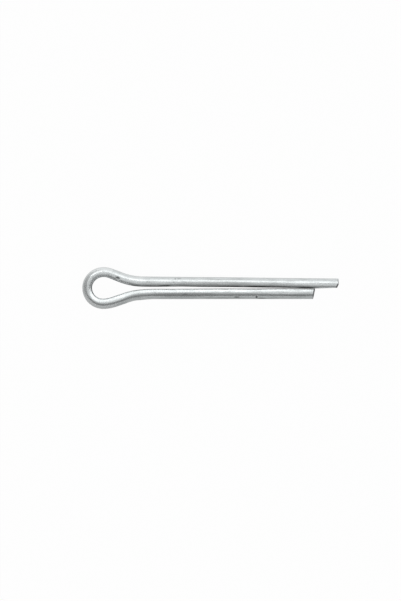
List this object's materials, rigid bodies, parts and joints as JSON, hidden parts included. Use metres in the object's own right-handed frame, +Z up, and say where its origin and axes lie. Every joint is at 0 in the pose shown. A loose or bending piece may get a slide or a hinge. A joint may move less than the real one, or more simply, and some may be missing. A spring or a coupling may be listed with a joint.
{
  "type": "cotter pin",
  "caption": "Cotter pin of folded half-round wire: a round eye, flanks that close to a neck, and split legs of unequal length that lie together as a round shank.",
  "frame": {"origin": "on the shank's axis, where both legs have left their neck bends and run straight", "axes": "+X along the shank to the tips of the legs, +Y towards the longer leg, +Z up, square to the plane in which the wire is bent; the pin lies flat"},
  "size_m": [0.0345, 0.0056, 0.0028],
  "materials": {
    "zinc_plated_steel": "satin zinc plating on drawn wire, light grey with faint drawing lines and small dull spots"
  },
  "bodies": {
    "root": {"cotter_pin": "zinc_plated_steel"}
  },
  "joints": []
}
